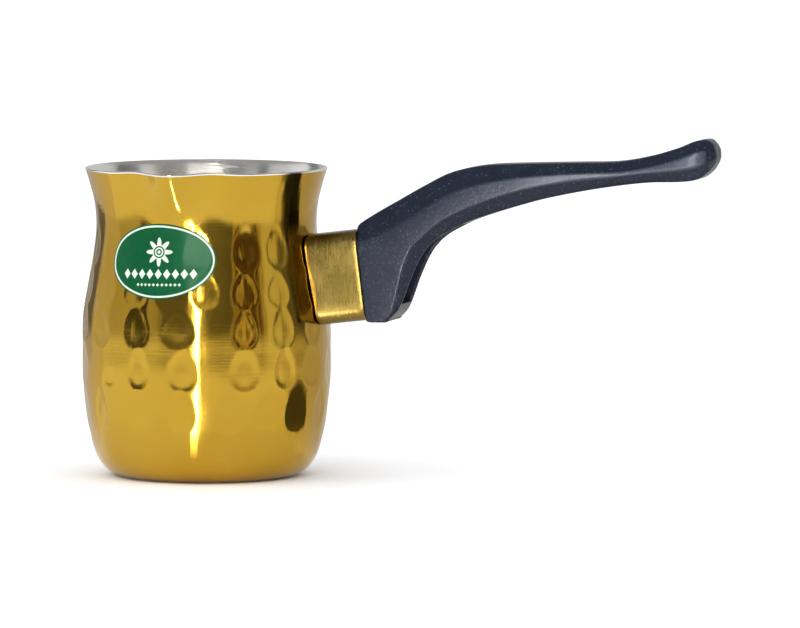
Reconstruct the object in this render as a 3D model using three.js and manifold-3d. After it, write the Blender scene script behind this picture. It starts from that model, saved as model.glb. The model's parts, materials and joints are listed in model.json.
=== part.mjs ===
// A hammered coffee pot with a pouring lip and a long moulded side handle.
// Millimetres, +Z up. The origin is the centre of the face that the pot stands on,
// the handle points along +X and the pouring lip along -Y.
import * as THREE from "three";
import { mergeVertices } from "three/addons/utils/BufferGeometryUtils.js";
import Module from "manifold-3d";

const wasm = await Module();
wasm.setup();

// Pot
const POT_HEIGHT = 102.5;
const SHEET = 0.8; // thickness of the drawn sheet
const FOOT_RADIUS = 27.5; // edge of the flat that the pot stands on
const BEAD_RADIUS = 22; // stiffening bead pressed into the base
const BEAD_HALF_WIDTH = 2;
const BEAD_HEIGHT = 0.7;
const WALL_STEPS = 24;
const TURN_STEPS = 64;

// Pouring lip, pulled out of the rim at -Y
const LIP_REACH = 4.6;
const LIP_HALF_ANGLE = 9; // degrees at which the pull has faded to a third
const LIP_DEPTH = 24; // how far below the rim the pull starts
const FLANK_ANGLE = 20; // degrees from the lip to the flanks beside it
const FLANK_PINCH = 0.7;
const FLANK_LIFT = 0.5;

// Handle stub: flame guard, bracket and screw share one axis, square to the wall
const STUB_TILT = THREE.MathUtils.degToRad(7);
const STUB_START = new THREE.Vector3(39.4, 0, 66.3); // where the axis meets the wall
const GUARD_WIDTH = 17.6;
const GUARD_HEIGHT = 30.1;
const GUARD_CORNER = 4;
const GUARD_SHEET = 0.8;
const GUARD_END = 16.4; // distance of its outer end from the wall
const WELD_GAP = 0.3; // what touches the wall stands this far off it
const CLEARANCE = 0.3;

// Bracket: a bent strap whose feet are welded to the wall
const STRAP = 1.5;
const STRAP_HEIGHT = 16;
const BRACKET_WIDTH = 14.6; // over the feet
const CHANNEL_WIDTH = 9; // inside the legs, which hold the nut from turning
const WEB_END = 10;

// Screw and what it holds
const SCREW_RADIUS = 2.4;
const SCREW_HOLE = 2.7;
const SCREW_TIP = 2.5;
const NUT_ACROSS_FLATS = 8;
const NUT_HEIGHT = 4;
const SEAT = 22.6; // floor of the screw pocket, from the wall
const WASHER_RADIUS = 5;
const WASHER_THICKNESS = 1;
const SPRING_RADIUS = 4.4;
const SPRING_THICKNESS = 1.3;
const HEAD_RADIUS = 4.5;
const HEAD_HEIGHT = 3.4;
const RECESS = { length: 5, width: 1.1, depth: 1.8 }; // cross recess of the head

// Handle
const HANDLE_WIDTH = 18;
const HANDLE_BEVEL = 3;
const TENON_START = WEB_END + 0.5;
const TENON_FIT = 0.3; // all-round clearance inside the flame guard
const POCKET_WIDTH = 11;
const POCKET_LOW = -10.5; // ends of the pocket, from the screw's axis
const POCKET_HIGH = 16;
const POCKET_CORNER = 4;

// Label, stuck to the wall between the lip and the handle
const LABEL = { width: 38, height: 25, z: 74.5, turn: -8, tilt: 0.8, thickness: 0.25 };

const STEEL_GOLD = { color: 0xc9992e, metalness: 1, roughness: 0.2 };
const STEEL_BARE = { color: 0xb9b9b6, metalness: 1, roughness: 0.35 };
const finishes = {
  gold: new THREE.MeshStandardMaterial(STEEL_GOLD),
  satinGold: new THREE.MeshStandardMaterial({ ...STEEL_GOLD, roughness: 0.4 }),
  steel: new THREE.MeshStandardMaterial(STEEL_BARE),
  phenolic: new THREE.MeshStandardMaterial({ color: 0x1d2026, metalness: 0, roughness: 0.5 }),
  label: new THREE.MeshStandardMaterial({ color: 0x05643c, metalness: 0, roughness: 0.4 }),
};

// ---- solids -------------------------------------------------------------------------------

// A closed three.js geometry as a solid that can be cut and joined.
function solid(geometry) {
  const bare = geometry.clone();
  bare.deleteAttribute("normal");
  bare.deleteAttribute("uv");
  const merged = mergeVertices(bare, 1e-4);
  return new wasm.Manifold(
    new wasm.Mesh({
      numProp: 3,
      vertProperties: merged.attributes.position.array,
      triVerts: new Uint32Array(merged.index.array),
    }),
  );
}

function geometryOf(body) {
  const { vertProperties, triVerts } = body.getMesh();
  const geometry = new THREE.BufferGeometry();
  geometry.setAttribute("position", new THREE.BufferAttribute(vertProperties, 3));
  geometry.setIndex(new THREE.BufferAttribute(triVerts, 1));
  return geometry;
}

// Turns geometry made about the Y axis so that the axis is +Z.
function upright(geometry) {
  return geometry.rotateX(Math.PI / 2);
}

// Turns geometry made about the Z axis so that the axis is +X and its own Y is +Z.
function alongX(geometry) {
  return geometry.rotateX(Math.PI / 2).rotateZ(Math.PI / 2);
}

// Moves geometry from the pot's frame to the stub's own.
const stubMatrix = new THREE.Matrix4()
  .makeRotationY(-STUB_TILT)
  .setPosition(STUB_START);
const toStub = (geometry) => geometry.applyMatrix4(stubMatrix.clone().invert());

function roundedRectangle(width, height, corner) {
  const x = width / 2;
  const y = height / 2;
  const shape = new THREE.Shape();
  shape.absarc(x - corner, y - corner, corner, 0, Math.PI / 2);
  shape.absarc(corner - x, y - corner, corner, Math.PI / 2, Math.PI);
  shape.absarc(corner - x, corner - y, corner, Math.PI, 1.5 * Math.PI);
  shape.absarc(x - corner, corner - y, corner, 1.5 * Math.PI, 2 * Math.PI);
  return shape;
}

// A shape drawn in the stub's cross section, swept along the stub's axis.
function prismOnStub(shape, start, end, curveSegments = 5) {
  const prism = new THREE.ExtrudeGeometry(shape, {
    depth: end - start,
    bevelEnabled: false,
    curveSegments,
  });
  return alongX(prism).translate(start, 0, 0);
}

// A solid of revolution about the stub's axis. The profile is [distance along the axis, radius].
function turnedOnStub(profile, steps = 28) {
  const points = profile.map(([along, radius]) => new THREE.Vector2(radius, along));
  return new THREE.LatheGeometry(points, steps).rotateZ(-Math.PI / 2);
}

// ---- pot ----------------------------------------------------------------------------------

// The outside of the wall, from the edge of the foot to the rim, as [radius, height].
const wallCurve = new THREE.SplineCurve(
  [
    [FOOT_RADIUS, 0],
    [31.4, 1],
    [34.7, 3.6],
    [37.2, 8],
    [39, 14.5],
    [40.3, 22],
    [41.3, 33],
    [41.4, 43],
    [41.15, 54],
    [39.5, 64],
    [37.7, 74],
    [36.7, 83],
    [37.2, 91],
    [38.9, 98],
    [40.3, POT_HEIGHT],
  ].map(([radius, height]) => new THREE.Vector2(radius, height)),
);

// The wall's outline moved outwards by a distance, or inwards where it is negative.
function wallOutline(distance, from = 0, to = 1, steps = WALL_STEPS) {
  const points = [];
  for (let i = 0; i <= steps; i++) {
    const t = from + ((to - from) * i) / steps;
    const ahead = wallCurve.getTangent(t);
    const outwards = new THREE.Vector2(ahead.y, -ahead.x);
    points.push(wallCurve.getPoint(t).addScaledVector(outwards, distance));
  }
  return points;
}

// The base from the axis outwards, with its pressed bead, at the height of one face of the sheet.
function baseOutline(height) {
  return [-1, -0.35, 0.35, 1].map((side, i) => {
    const rise = i === 1 || i === 2 ? BEAD_HEIGHT : 0;
    return new THREE.Vector2(BEAD_RADIUS + side * BEAD_HALF_WIDTH, height + rise);
  });
}

// Pulls the lip out of the rim and pinches and lifts the rim a little on both sides of it.
function pullLip(geometry) {
  const position = geometry.attributes.position;
  const p = new THREE.Vector3();
  const hump = (angle, centre, width) => Math.exp(-(((angle - centre) / width) ** 2));
  for (let i = 0; i < position.count; i++) {
    p.fromBufferAttribute(position, i);
    const radius = Math.hypot(p.x, p.y);
    const depth = THREE.MathUtils.smoothstep(p.z, POT_HEIGHT - LIP_DEPTH, POT_HEIGHT + SHEET);
    if (radius === 0 || depth === 0) continue;
    const angle = Math.abs(THREE.MathUtils.radToDeg(Math.atan2(p.x, -p.y)));
    const pull = LIP_REACH * depth ** 1.5 * hump(angle, 0, LIP_HALF_ANGLE);
    const flank = depth * hump(angle, FLANK_ANGLE, LIP_HALF_ANGLE);
    const stretch = 1 + (pull - FLANK_PINCH * flank) / radius;
    position.setXYZ(i, p.x * stretch, p.y * stretch, p.z + FLANK_LIFT * flank);
  }
  return geometry;
}

function potShell() {
  const outside = wallOutline(0);
  const inside = wallOutline(-SHEET).reverse();
  const rimMiddle = outside.at(-1).clone().add(inside[0]).divideScalar(2);
  rimMiddle.y += SHEET / 3;
  const profile = [
    new THREE.Vector2(0, 0),
    ...baseOutline(0),
    ...outside,
    rimMiddle,
    ...inside,
    ...baseOutline(SHEET).reverse(),
    new THREE.Vector2(0, SHEET),
  ];
  return pullLip(upright(new THREE.LatheGeometry(profile, TURN_STEPS)));
}

// Everything within the wall's outside plus a gap, used to cut what is fitted to the wall.
function wallCutter(gap) {
  const low = STUB_START.z - GUARD_HEIGHT;
  const high = STUB_START.z + GUARD_HEIGHT;
  const side = wallOutline(gap, 0.2, 1, 30);
  const profile = [
    new THREE.Vector2(0, Math.min(low, side[0].y)),
    new THREE.Vector2(side[0].x, Math.min(low, side[0].y)),
    ...side,
    new THREE.Vector2(side.at(-1).x, Math.max(high, side.at(-1).y + 1)),
    new THREE.Vector2(0, Math.max(high, side.at(-1).y + 1)),
  ];
  return solid(toStub(upright(new THREE.LatheGeometry(profile, 2 * TURN_STEPS))));
}

// ---- stub ---------------------------------------------------------------------------------

function flameGuard() {
  const outline = roundedRectangle(GUARD_WIDTH, GUARD_HEIGHT, GUARD_CORNER);
  outline.holes.push(
    roundedRectangle(
      GUARD_WIDTH - 2 * GUARD_SHEET,
      GUARD_HEIGHT - 2 * GUARD_SHEET,
      GUARD_CORNER - GUARD_SHEET,
    ),
  );
  const tube = solid(prismOnStub(outline, -6, GUARD_END, 6));
  return geometryOf(tube.subtract(wallCutter(WELD_GAP)));
}

// Seen from above the bracket is a hat: two feet on the wall, two legs and a web with the screw's hole.
function handleBracket() {
  const foot = BRACKET_WIDTH / 2;
  const leg = CHANNEL_WIDTH / 2;
  const outer = leg + STRAP;
  const hat = new THREE.Shape(
    [
      [-4, foot],
      [STRAP, foot],
      [STRAP, outer],
      [WEB_END, outer],
      [WEB_END, -outer],
      [STRAP, -outer],
      [STRAP, -foot],
      [-4, -foot],
      [-4, -leg],
      [WEB_END - STRAP, -leg],
      [WEB_END - STRAP, leg],
      [-4, leg],
    ].map(([along, across]) => new THREE.Vector2(along, across)),
  );
  const strap = new THREE.ExtrudeGeometry(hat, { depth: STRAP_HEIGHT, bevelEnabled: false });
  strap.translate(0, 0, -STRAP_HEIGHT / 2);
  const hole = turnedOnStub([
    [0, 0],
    [0, SCREW_HOLE],
    [WEB_END + 1, SCREW_HOLE],
    [WEB_END + 1, 0],
  ]);
  return geometryOf(solid(strap).subtract(wallCutter(WELD_GAP)).subtract(solid(hole)));
}

function weldNut() {
  const corner = NUT_ACROSS_FLATS / Math.sqrt(3);
  const hexagon = new THREE.Shape();
  for (let i = 0; i < 6; i++) {
    const angle = (i * Math.PI) / 3 + Math.PI / 2; // two flats face the bracket's legs
    hexagon[i ? "lineTo" : "moveTo"](corner * Math.cos(angle), corner * Math.sin(angle));
  }
  hexagon.holes.push(new THREE.Path().absarc(0, 0, SCREW_RADIUS + 0.2, 0, 2 * Math.PI));
  const end = WEB_END - STRAP - CLEARANCE;
  return prismOnStub(hexagon, end - NUT_HEIGHT, end, 14);
}

// A ring about the screw. A gap, in degrees, splits it.
function washer(start, thickness, radius, gap = 0) {
  const half = THREE.MathUtils.degToRad(gap / 2);
  const ring = new THREE.Shape();
  if (gap) {
    ring.absarc(0, 0, radius, half, 2 * Math.PI - half);
    ring.absarc(0, 0, SCREW_HOLE, 2 * Math.PI - half, half, true);
  } else {
    ring.absarc(0, 0, radius, 0, 2 * Math.PI);
    ring.holes.push(new THREE.Path().absarc(0, 0, SCREW_HOLE, 0, 2 * Math.PI));
  }
  return prismOnStub(ring, start, start + thickness, 16);
}

const washerStart = SEAT + CLEARANCE;
const springStart = washerStart + WASHER_THICKNESS + CLEARANCE;
const headStart = springStart + SPRING_THICKNESS + CLEARANCE;

function handleScrew() {
  const end = headStart + HEAD_HEIGHT;
  const turned = turnedOnStub([
    [SCREW_TIP, 0],
    [SCREW_TIP, SCREW_RADIUS - 0.6],
    [SCREW_TIP + 0.8, SCREW_RADIUS],
    [headStart, SCREW_RADIUS],
    [headStart, HEAD_RADIUS],
    [headStart + 0.35 * HEAD_HEIGHT, HEAD_RADIUS],
    [headStart + 0.75 * HEAD_HEIGHT, 0.8 * HEAD_RADIUS],
    [end, 0.45 * HEAD_RADIUS],
    [end, 0],
  ]);
  let screw = solid(turned);
  for (const turn of [0, Math.PI / 2]) {
    const slot = new THREE.BoxGeometry(2 * RECESS.depth, RECESS.length, RECESS.width);
    slot.rotateX(turn).translate(end, 0, 0);
    screw = screw.subtract(solid(slot));
  }
  return geometryOf(screw);
}

// ---- handle -------------------------------------------------------------------------------

// The handle seen from the side, in the pot's frame, as [x, z].
function handleOutline() {
  const top = [
    [57.6, 87.4],
    [66, 92.1],
    [77, 98.7],
    [86, 103.1],
    [95, 105.3],
    [110, 106.2],
    [130, 106.8],
    [143, 107.3],
    [153, 109.4],
    [163, 112.1],
  ];
  const tip = [
    [170.5, 115.3],
    [174.6, 113.6],
    [176.1, 110],
    [174.6, 106],
    [170, 102.4],
    [163, 100.9],
  ];
  const underside = [
    [150, 100.2],
    [134, 97.8],
    [118, 94.5],
    [102, 90],
    [89.5, 85.2],
    [82, 81.4],
    [76.6, 75.7],
    [72.6, 67],
    [69.1, 57.5],
  ];
  const heel = [
    [66.6, 54],
    [62.6, 52.8],
  ];
  const points = (list) => list.map(([x, z]) => new THREE.Vector2(x, z));
  const shape = new THREE.Shape();
  shape.moveTo(48, 52.8);
  shape.lineTo(48, 84);
  shape.lineTo(53.9, 85.2);
  shape.splineThru(points([...top, ...tip, ...underside, ...heel]));
  return shape;
}

// The handle seen from above: half its width at each x.
function handlePlan() {
  const halfWidths = [
    [72, 9],
    [95, 9.2],
    [115, 8.8],
    [135, 7.4],
    [148, 7],
    [160, 7.8],
    [168, 8.2],
    [174, 6.6],
    [177.5, 2],
  ];
  const side = halfWidths.map(([x, half]) => new THREE.Vector2(x, half));
  const shape = new THREE.Shape();
  shape.moveTo(40, -HANDLE_WIDTH / 2);
  shape.lineTo(40, HANDLE_WIDTH / 2);
  shape.lineTo(60, HANDLE_WIDTH / 2);
  shape.splineThru(side);
  const mirrored = side.map((p) => new THREE.Vector2(p.x, -p.y)).reverse();
  shape.lineTo(mirrored[0].x, mirrored[0].y);
  shape.splineThru(mirrored.slice(1));
  shape.lineTo(60, -HANDLE_WIDTH / 2);
  return shape;
}

function handle() {
  const profile = new THREE.ExtrudeGeometry(handleOutline(), {
    depth: HANDLE_WIDTH + 1 - 2 * HANDLE_BEVEL,
    bevelThickness: HANDLE_BEVEL,
    bevelSize: HANDLE_BEVEL,
    bevelOffset: -HANDLE_BEVEL,
    bevelSegments: 2,
    curveSegments: 3,
  });
  profile.rotateX(Math.PI / 2).translate(0, (HANDLE_WIDTH + 1) / 2 - HANDLE_BEVEL, 0);
  const plan = new THREE.ExtrudeGeometry(handlePlan(), {
    depth: 90,
    bevelEnabled: false,
    curveSegments: 3,
  });
  plan.translate(0, 0, 40);

  const rootFace = GUARD_END + CLEARANCE;
  const beyond = new THREE.BoxGeometry(40, 60, 120).translate(rootFace - 20, 0, 0);
  const tenon = roundedRectangle(
    GUARD_WIDTH - 2 * (GUARD_SHEET + TENON_FIT),
    GUARD_HEIGHT - 2 * (GUARD_SHEET + TENON_FIT),
    GUARD_CORNER - GUARD_SHEET - TENON_FIT,
  );
  const screwHole = turnedOnStub([
    [0, 0],
    [0, SCREW_HOLE],
    [SEAT + 1, SCREW_HOLE],
    [SEAT + 1, 0],
  ]);
  const middle = (POCKET_LOW + POCKET_HIGH) / 2;
  const pocketEnds = roundedRectangle(POCKET_WIDTH, POCKET_HIGH - POCKET_LOW, POCKET_CORNER);
  const pocket = prismOnStub(pocketEnds, SEAT, SEAT + 40, 5).translate(0, 0, middle);

  const blank = solid(toStub(profile)).intersect(solid(toStub(plan)));
  const root = blank.subtract(solid(beyond));
  const joined = root.add(solid(prismOnStub(tenon, TENON_START, rootFace + 1)));
  return geometryOf(joined.subtract(solid(screwHole)).subtract(solid(pocket)));
}

// ---- label --------------------------------------------------------------------------------

// A thin oval skin that follows the wall, cut out of a shell around it.
function label() {
  const front = wallOutline(WELD_GAP + LABEL.thickness, 0.4, 0.97, 24);
  const back = wallOutline(WELD_GAP, 0.4, 0.97, 24).reverse();
  const ring = new THREE.LatheGeometry([...front, ...back, front[0].clone()], 144);
  const shell = pullLip(upright(ring));
  const oval = new THREE.Shape().absellipse(
    0,
    0,
    LABEL.width / 2,
    LABEL.height / 2,
    0,
    2 * Math.PI,
  );
  const cutter = new THREE.ExtrudeGeometry(oval, {
    depth: 60,
    bevelEnabled: false,
    curveSegments: 24,
  });
  cutter
    .rotateZ(THREE.MathUtils.degToRad(-LABEL.tilt))
    .rotateX(Math.PI / 2)
    .translate(0, 0, LABEL.z)
    .rotateZ(THREE.MathUtils.degToRad(LABEL.turn));
  return geometryOf(solid(shell).intersect(solid(cutter)));
}

// ---- assembly -----------------------------------------------------------------------------

function mesh(name, geometry, material) {
  const made = new THREE.Mesh(geometry, material);
  made.name = name;
  return made;
}

const stub = new THREE.Group();
stub.position.copy(STUB_START);
stub.rotation.y = -STUB_TILT;
stub.add(
  mesh("flame_guard", flameGuard(), finishes.satinGold),
  mesh("handle_bracket", handleBracket(), finishes.steel),
  mesh("weld_nut", weldNut(), finishes.steel),
  mesh("handle", handle(), finishes.phenolic),
  mesh("flat_washer", washer(washerStart, WASHER_THICKNESS, WASHER_RADIUS), finishes.steel),
  mesh("spring_washer", washer(springStart, SPRING_THICKNESS, SPRING_RADIUS, 14), finishes.steel),
  mesh("handle_screw", handleScrew(), finishes.steel),
);

const coffeePot = new THREE.Group();
coffeePot.add(
  mesh("pot_shell", potShell(), finishes.gold),
  stub,
  mesh("label", label(), finishes.label),
);

export default coffeePot;
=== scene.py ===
"""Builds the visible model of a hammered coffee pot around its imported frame.

The frame's own axes hold throughout: +Z up, +X along the handle, -Y through the pouring lip,
with the origin in the middle of the face that the pot stands on. Lengths are in metres, and
the tables of shapes below are in millimetres.
"""

import functools
import json
import math
import random

import bmesh
import bpy
from bpy.props import FloatProperty, FloatVectorProperty, IntProperty, PointerProperty
from mathutils import Matrix, Vector

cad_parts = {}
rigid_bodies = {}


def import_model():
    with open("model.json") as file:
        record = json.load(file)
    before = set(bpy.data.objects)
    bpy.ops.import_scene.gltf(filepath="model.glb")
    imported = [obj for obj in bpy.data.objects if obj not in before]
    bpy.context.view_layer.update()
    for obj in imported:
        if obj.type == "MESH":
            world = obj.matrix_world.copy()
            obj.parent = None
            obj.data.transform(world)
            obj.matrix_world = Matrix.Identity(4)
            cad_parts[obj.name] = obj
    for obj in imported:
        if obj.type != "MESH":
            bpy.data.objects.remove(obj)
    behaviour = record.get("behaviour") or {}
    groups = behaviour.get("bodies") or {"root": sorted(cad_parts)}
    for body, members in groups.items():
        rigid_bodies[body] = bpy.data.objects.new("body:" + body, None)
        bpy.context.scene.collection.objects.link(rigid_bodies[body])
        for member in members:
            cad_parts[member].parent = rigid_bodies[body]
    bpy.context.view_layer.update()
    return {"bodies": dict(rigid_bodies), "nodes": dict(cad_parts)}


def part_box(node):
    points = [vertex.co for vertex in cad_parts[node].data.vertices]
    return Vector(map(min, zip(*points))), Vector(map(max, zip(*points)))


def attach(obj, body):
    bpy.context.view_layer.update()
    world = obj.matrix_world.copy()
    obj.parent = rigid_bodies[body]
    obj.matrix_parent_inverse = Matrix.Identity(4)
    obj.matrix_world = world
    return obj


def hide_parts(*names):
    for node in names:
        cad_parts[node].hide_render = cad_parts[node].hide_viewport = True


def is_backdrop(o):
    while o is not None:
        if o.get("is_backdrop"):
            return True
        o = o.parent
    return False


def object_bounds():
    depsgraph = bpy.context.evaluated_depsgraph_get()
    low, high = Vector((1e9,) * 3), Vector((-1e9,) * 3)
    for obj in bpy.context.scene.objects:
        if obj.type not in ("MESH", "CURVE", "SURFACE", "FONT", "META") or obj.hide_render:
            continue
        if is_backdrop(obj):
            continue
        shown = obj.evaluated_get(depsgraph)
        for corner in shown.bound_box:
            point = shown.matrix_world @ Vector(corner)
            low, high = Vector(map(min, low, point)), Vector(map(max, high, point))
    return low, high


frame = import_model()

bl_info = {
    "name": "Hammered Coffee Pot",
    "version": (1, 0, 0),
    "blender": (4, 5, 0),
    "location": "3D View > Sidebar > Coffee Pot",
    "description": "Builds a hammered coffee pot with a moulded handle, and its studio",
    "category": "Add Mesh",
}

MM = 0.001
FULL_TURN = 2 * math.pi
BODY = next(iter(frame["bodies"]))
GUARD_LOW, GUARD_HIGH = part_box("flame_guard")
GUARD_WIDTH = (GUARD_HIGH.y - GUARD_LOW.y) / MM

# ---- driving sizes, in millimetres ----------------------------------------------------------

POT_HEIGHT = 102.5
SHEET = 0.8
BEAD_RADIUS = 22.0
BEAD_HALF_WIDTH = 2.0
BEAD_HEIGHT = 0.7

# The outside of the wall from the edge of the foot to the rim, as (radius, height).
WALL = [
    (27.5, 0.0),
    (31.4, 1.0),
    (34.7, 3.6),
    (37.2, 8.0),
    (39.0, 14.5),
    (40.3, 22.0),
    (41.3, 33.0),
    (41.38, 43.0),
    (41.15, 54.0),
    (39.5, 64.0),
    (37.7, 74.0),
    (36.7, 83.0),
    (37.2, 91.0),
    (38.9, 98.0),
    (40.3, POT_HEIGHT),
]

# Rows of hammer marks, as (lower edge, upper edge, depth, angles of the marks round the side
# that faces -Y, in degrees from -Y towards +X). The far side is filled in almost evenly.
MARK_ROWS = [
    (5.5, 18.0, 0.09, (-52, -30, -6, 40, 62, 84)),
    (17.6, 31.4, 0.34, (-64, -42, -16, 5, 28, 48, 64, 84)),
    (31.2, 45.0, 0.33, (-84, -62, -16, 6, 35, 56, 75)),
    (45.4, 58.2, 0.34, (-82, -62, -41, -17, 4, 35, 55, 76)),
    (58.0, 70.6, 0.32, (-84, -62, -40, -19, 0, 17, 36, 54, 74)),
    (70.4, 84.8, 0.27, (-82, -60, -38, -16, 13, 38, 56, 78)),
]
# Round dents between them, as (angle, height, radius, depth).
SMALL_MARKS = [
    (22, 12.6, 4.7, 0.3),
    (-34, 35.0, 3.0, 0.2),
    (-70, 15.0, 3.0, 0.1),
    (118, 12.5, 3.4, 0.12),
    (205, 13.5, 3.6, 0.12),
]

# How the marks vary: factors on their width and depth, and shifts in millimetres or degrees.
WIDTH_SPREAD = (0.8, 1.12)
DEPTH_SPREAD = (0.78, 1.08)
BOTTOM_SPREAD = (-0.5, 0.5)
TOP_SPREAD = (-0.7, 0.9)
TURN_SPREAD = (-2.0, 2.0)
ROW_MARGINS = (1.5, 1.8)  # how far the marks of a row may pass its lower and upper edge
MARK_OVERLAP = 1.02  # a mark's half width, as a share of half the way to the next mark
MARK_WIDEST = 0.36  # the height at which a mark is widest, as a share of its own height
MARK_NARROWING = 0.3  # how much narrower it is at its top
MARK_REACH = 9.5  # no mark is felt further than this along the wall
HAMMERED_HEIGHTS = (4.0, 88.0)

# The rim beside the pouring lip is pinched in and lifted a little.
FLANK_ANGLE = math.radians(20)
FLANK_PINCH = 0.7
FLANK_LIFT = 0.5
RIM_BARE = 0.3  # the coating ends this far below the edge of the rim
RIM_CROWN = 0.33  # how far the cut edge of the rim is rounded out, as a share of the sheet

# The stub's axis: square to the wall, from STUB_START, tilted up towards the handle.
STUB_START = Vector((39.4, 0.0, 66.3))
STUB_TILT = math.radians(7)
GUARD_HEIGHT = 30.1
GUARD_END = 16.4
GUARD_RINGS = 10
WELD_GAP = 0.3  # what is welded to the wall stands this far off it
EDGE_ROUND = 0.26  # rounding of the guard's cut edges
ROOT = 16.7  # the handle's face against the flame guard, from the wall
TENON_START = 10.5
SEAT = 22.6  # the floor of the screw's pocket, from the wall
SCREW_HOLE = 2.7
HOLE_LENGTH = 30.0
SCREW_RADIUS = 2.4
SCREW_TIP = 2.5
CLEARANCE = 0.3
WASHER = (5.0, 1.0)  # radius and thickness
SPRING = (4.4, 1.3)
SPLIT_ANGLE = 7.0  # half the gap of the spring washer, in degrees
HEAD = (4.5, 3.4)
THREAD_PITCH = 0.8
THREAD_DEPTH = 0.42
RECESS_HEIGHT = 3.9  # of the wedge that cuts each slot of the cross, half of it in the head
RECESS_TURN = 0.35  # the angle of the cross, in radians
# The length and the width of that wedge at its lower and at its upper end.
RECESS_LOW = (3.6, 0.8)
RECESS_HIGH = (5.4, 1.15)

# The handle's cross sections from the heel to the tip. Each has four corners, as (x, z), and
# the half widths at the front, at the sides and at the rear.
# front, upper edge of the side, lower edge of the side, rear, (half widths)
SECTIONS = [
    ((57.85, 53.5), (58.4, 53.4), (64.6, 53.5), (65.6, 54.0), (8.9, 9.1, 7.8)),
    ((57.6, 55.6), (58.15, 55.5), (67.0, 56.3), (67.9, 56.4), (8.9, 9.1, 7.2)),
    ((57.2, 58.8), (57.75, 58.7), (68.0, 60.0), (69.8, 60.2), (8.9, 9.1, 6.9)),
    ((56.4, 65.3), (56.95, 65.3), (69.5, 66.6), (72.2, 66.7), (8.9, 9.1, 6.7)),
    ((55.5, 72.7), (56.05, 72.7), (71.0, 72.6), (74.9, 72.8), (8.9, 9.1, 6.6)),
    ((54.8, 78.5), (55.35, 78.3), (73.0, 77.0), (77.1, 76.6), (8.8, 9.1, 6.5)),
    ((54.25, 82.7), (55.4, 79.7), (74.2, 78.7), (78.6, 78.4), (6.4, 9.1, 6.5)),
    ((54.3, 85.0), (56.5, 79.9), (75.6, 80.0), (80.0, 79.9), (5.2, 9.1, 6.4)),
    ((59.6, 88.6), (62.2, 81.6), (78.6, 82.7), (82.9, 82.1), (5.0, 9.1, 6.3)),
    ((67.8, 93.3), (70.4, 86.3), (82.8, 86.3), (86.7, 84.2), (4.9, 9.2, 6.1)),
    ((77.0, 98.5), (79.5, 92.0), (88.2, 89.4), (92.2, 86.8), (4.8, 9.2, 5.8)),
    ((86.0, 102.9), (88.0, 96.4), (95.8, 92.7), (99.0, 89.2), (4.8, 9.2, 5.5)),
    ((97.0, 105.3), (98.5, 99.6), (104.0, 95.7), (107.0, 91.7), (4.7, 9.1, 5.2)),
    ((111.0, 106.15), (111.0, 101.9), (114.0, 98.4), (117.0, 94.5), (4.6, 8.8, 4.9)),
    ((127.0, 106.7), (127.0, 103.3), (128.0, 100.9), (129.5, 97.2), (4.3, 7.9, 4.6)),
    ((142.0, 107.3), (141.5, 103.9), (141.5, 102.3), (142.0, 99.3), (4.0, 7.1, 4.3)),
    ((153.0, 109.3), (152.5, 105.5), (152.7, 103.8), (153.0, 100.6), (4.2, 7.3, 4.4)),
    ((162.5, 112.1), (162.5, 108.2), (162.7, 104.9), (163.2, 101.0), (4.8, 8.0, 4.8)),
    ((168.2, 114.4), (168.8, 110.6), (169.1, 106.0), (169.0, 101.9), (5.0, 8.1, 4.9)),
    ((172.2, 114.9), (173.0, 111.6), (173.2, 107.4), (172.6, 104.2), (4.4, 7.0, 4.4)),
    ((174.4, 113.4), (175.0, 111.4), (175.1, 108.6), (174.7, 106.8), (2.9, 4.6, 2.9)),
]
POCKET_SIDE = 1.25  # thickness of the rim left on each side of the pocket
POCKET_DRAFT = 0.25  # how much narrower the pocket is at its floor, on each side
POCKET_DEEPEST = 0.62  # the most that it takes of the handle's depth
POCKET_ROUND = 1.2  # rounding of the corners of its floor
POCKET_STATIONS = (1.75, 2.15, 6.6, 9.7)  # where it drops, and where it starts and ends to rise
SLICES = 8  # rings between two of the sections above

LABEL_RINGS = 22
LABEL_TURNS = 144
LABEL_FOLLOWS = 0.8  # how much of a hammer mark's depth the label follows
GLUE = 0.12  # how far the label's back stands off the wall


# ---- settings -------------------------------------------------------------------------------


def length(name, description, default, **limits):
    return FloatProperty(
        name=name,
        description=description,
        default=default,
        subtype="DISTANCE",
        unit="LENGTH",
        precision=5,
        **limits,
    )


def angle(name, description, degrees):
    return FloatProperty(
        name=name,
        description=description,
        default=math.radians(degrees),
        subtype="ANGLE",
        unit="ROTATION",
    )


def colour(name, description, default):
    return FloatVectorProperty(
        name=name,
        description=description,
        default=default,
        size=3,
        subtype="COLOR",
        min=0.0,
        max=1.0,
    )


def number(name, description, default, **limits):
    return FloatProperty(name=name, description=description, default=default, **limits)


class PotSettings(bpy.types.PropertyGroup):
    rings: IntProperty(
        name="Wall Rings",
        description="Rings of faces from the foot to the rim",
        default=150,
        min=40,
    )
    turns: IntProperty(
        name="Turn Steps", description="Steps round the pot's axis", default=360, min=96
    )
    marks_around: IntProperty(
        name="Marks Around", description="Hammer marks in one full row", default=16, min=6
    )
    mark_depth: number("Mark Depth", "Scales the depth of the hammer marks", 1.0, min=0.0)
    mark_half_width: length("Mark Half Width", "Half the width of a mark", 5.0 * MM)
    mark_ridge: length("Ridge", "How far the ridge between two marks is rounded", 0.06 * MM)
    lip_reach: length("Lip Reach", "How far the lip is pulled out of the rim", 4.58 * MM)
    lip_half_angle: angle("Lip Half Angle", "Where the pull has faded to a third", 9)
    lip_depth: length("Lip Depth", "How far below the rim the pull starts", 24 * MM)
    seed: IntProperty(name="Seed", description="Picks the scatter of the marks", default=7)


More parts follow.
